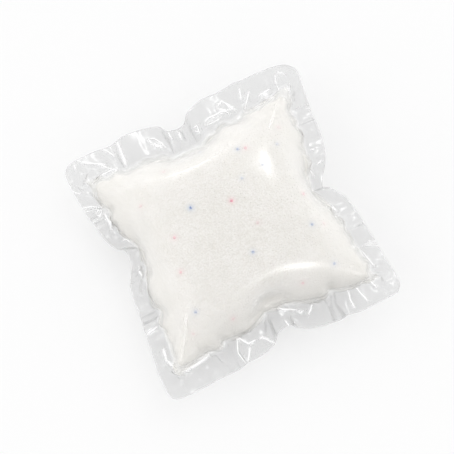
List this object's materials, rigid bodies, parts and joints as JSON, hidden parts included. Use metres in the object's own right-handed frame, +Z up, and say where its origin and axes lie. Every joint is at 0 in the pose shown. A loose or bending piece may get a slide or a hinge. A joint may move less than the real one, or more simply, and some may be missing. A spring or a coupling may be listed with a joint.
{
  "type": "laundry powder bag",
  "caption": "Pillow-shaped single-dose bag of clear film with a flat seal margin all round, filled with white laundry powder that has blue and pink grains in it.",
  "frame": {"origin": "centre of the bag's plan, on the surface that the bag lies on", "axes": "+Z up out of the bag's upper face, X along the front and back seal edges, +Y from the front edge to the back edge"},
  "size_m": [0.0658, 0.0672, 0.0164],
  "materials": {
    "clear_film": "gloss",
    "white_powder": "matte",
    "blue_grain": "matte",
    "pink_grain": "matte"
  },
  "bodies": {
    "root": {"upper_film": "clear_film", "lower_film": "clear_film", "powder_fill": "white_powder", "blue_grain_01": "blue_grain", "blue_grain_02": "blue_grain", "blue_grain_03": "blue_grain", "blue_grain_04": "blue_grain", "blue_grain_05": "blue_grain", "blue_grain_06": "blue_grain", "blue_grain_07": "blue_grain", "blue_grain_08": "blue_grain", "blue_grain_09": "blue_grain", "blue_grain_10": "blue_grain", "blue_grain_11": "blue_grain", "blue_grain_12": "blue_grain", "blue_grain_13": "blue_grain", "pink_grain_01": "pink_grain", "pink_grain_02": "pink_grain", "pink_grain_03": "pink_grain", "pink_grain_04": "pink_grain", "pink_grain_05": "pink_grain", "pink_grain_06": "pink_grain", "pink_grain_07": "pink_grain", "pink_grain_08": "pink_grain", "pink_grain_09": "pink_grain", "pink_grain_10": "pink_grain", "pink_grain_11": "pink_grain", "pink_grain_12": "pink_grain", "pink_grain_13": "pink_grain", "pink_grain_14": "pink_grain", "pink_grain_15": "pink_grain", "pink_grain_16": "pink_grain"}
  },
  "joints": []
}
